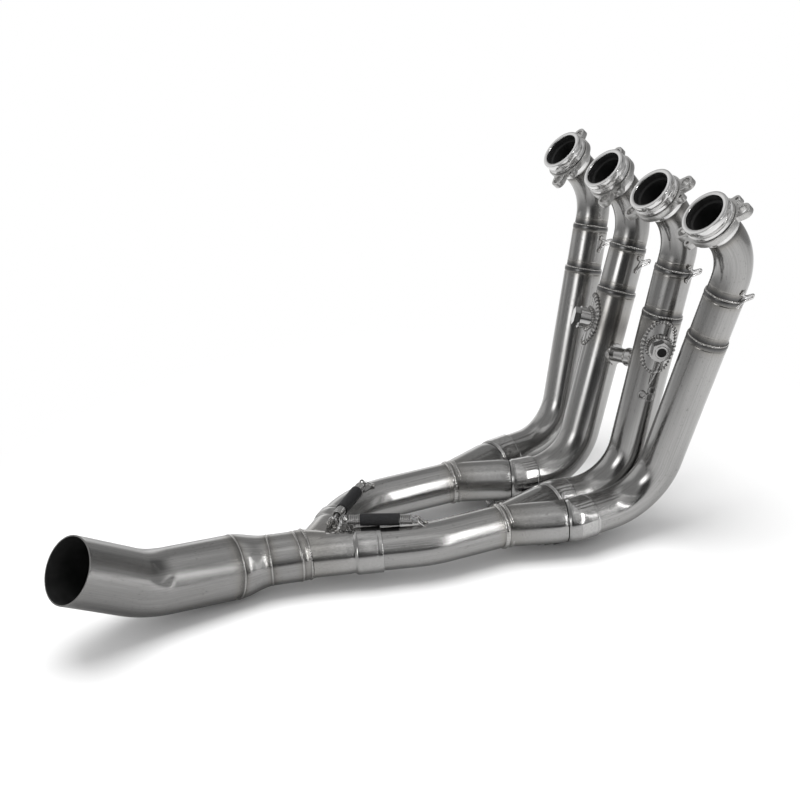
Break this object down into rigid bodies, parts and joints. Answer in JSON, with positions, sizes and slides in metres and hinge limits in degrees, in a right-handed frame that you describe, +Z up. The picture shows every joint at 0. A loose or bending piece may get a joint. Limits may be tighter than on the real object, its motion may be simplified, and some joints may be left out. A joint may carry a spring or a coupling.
{
  "type": "motorcycle exhaust header",
  "caption": "Exhaust header for an inline four: head pipes merge in pairs, the pairs merge in one flared outlet, slip joints held by sleeved springs.",
  "frame": {"origin": "on the floor that the header lies on, in the middle of its bounding box", "axes": "+X towards the front of the machine, +Y along the row of exhaust ports, +Z up"},
  "size_m": [0.654, 0.3154, 0.3631],
  "materials": {
    "tube_steel": "brushed along the tube, with grey heat tint beside the welds",
    "turned_ring": "turned, satin",
    "flange_plate": "laser cut plate, bead blasted",
    "weld_steel": "welded, grey tint",
    "plug_steel": "machined, dark",
    "hook_wire": "bent wire, tinted by welding",
    "spring_wire": "drawn wire",
    "rubber": "matte black"
  },
  "bodies": {
    "header": {"balance_collar_2": "weld_steel", "balance_collar_3": "weld_steel", "balance_pipe": "tube_steel", "bung_2": "weld_steel", "bung_3": "weld_steel", "bung_plug_2": "plug_steel", "bung_plug_3": "plug_steel", "bung_saddle_2": "weld_steel", "bung_saddle_3": "weld_steel", "cup_1_spring": "spring_wire", "cup_1_spring_sleeve": "rubber", "cup_2_spring": "spring_wire", "cup_2_spring_sleeve": "rubber", "cup_3_spring": "spring_wire", "cup_3_spring_sleeve": "rubber", "cup_4_spring": "spring_wire", "cup_4_spring_sleeve": "rubber", "far_collector": "tube_steel", "far_secondary": "tube_steel", "far_spring": "spring_wire", "far_spring_sleeve": "rubber", "flare": "tube_steel", "last_merge": "tube_steel", "lower_pipe_1": "tube_steel", "lower_pipe_2": "tube_steel", "lower_pipe_3": "tube_steel", "lower_pipe_4": "tube_steel", "near_collector": "tube_steel", "near_secondary": "tube_steel", "near_spring": "spring_wire", "near_spring_sleeve": "rubber", "outlet_pipe": "tube_steel", "port_ring_1": "turned_ring", "port_ring_2": "turned_ring", "port_ring_3": "turned_ring", "port_ring_4": "turned_ring", "step_pipe_1": "tube_steel", "step_pipe_2": "tube_steel", "step_pipe_3": "tube_steel", "step_pipe_4": "tube_steel", "throat_pipe": "tube_steel", "throat_ring": "tube_steel", "upper_pipe_1": "tube_steel", "upper_pipe_2": "tube_steel", "upper_pipe_3": "tube_steel", "upper_pipe_4": "tube_steel", "wire_hook_1": "hook_wire", "wire_hook_2": "hook_wire", "wire_hook_3": "hook_wire", "wire_hook_4": "hook_wire"},
    "flange_1": {"port_flange_1": "flange_plate"},
    "flange_2": {"port_flange_2": "flange_plate"},
    "flange_3": {"port_flange_3": "flange_plate"},
    "flange_4": {"port_flange_4": "flange_plate"}
  },
  "joints": [
    {"name": "flange_1_turn", "type": "hinge", "parent": "header", "child": "flange_1", "pos_m": [0.28152, 0.1299, 0.33598], "axis": [-0.7009, 0, 0.7133], "continuous": true},
    {"name": "flange_2_turn", "type": "hinge", "parent": "header", "child": "flange_2", "pos_m": [0.28152, 0.0439, 0.33598], "axis": [-0.7009, 0, 0.7133], "continuous": true},
    {"name": "flange_3_turn", "type": "hinge", "parent": "header", "child": "flange_3", "pos_m": [0.28152, -0.0421, 0.33598], "axis": [-0.7009, 0, 0.7133], "continuous": true},
    {"name": "flange_4_turn", "type": "hinge", "parent": "header", "child": "flange_4", "pos_m": [0.28152, -0.1281, 0.33598], "axis": [-0.7009, 0, 0.7133], "continuous": true}
  ]
}
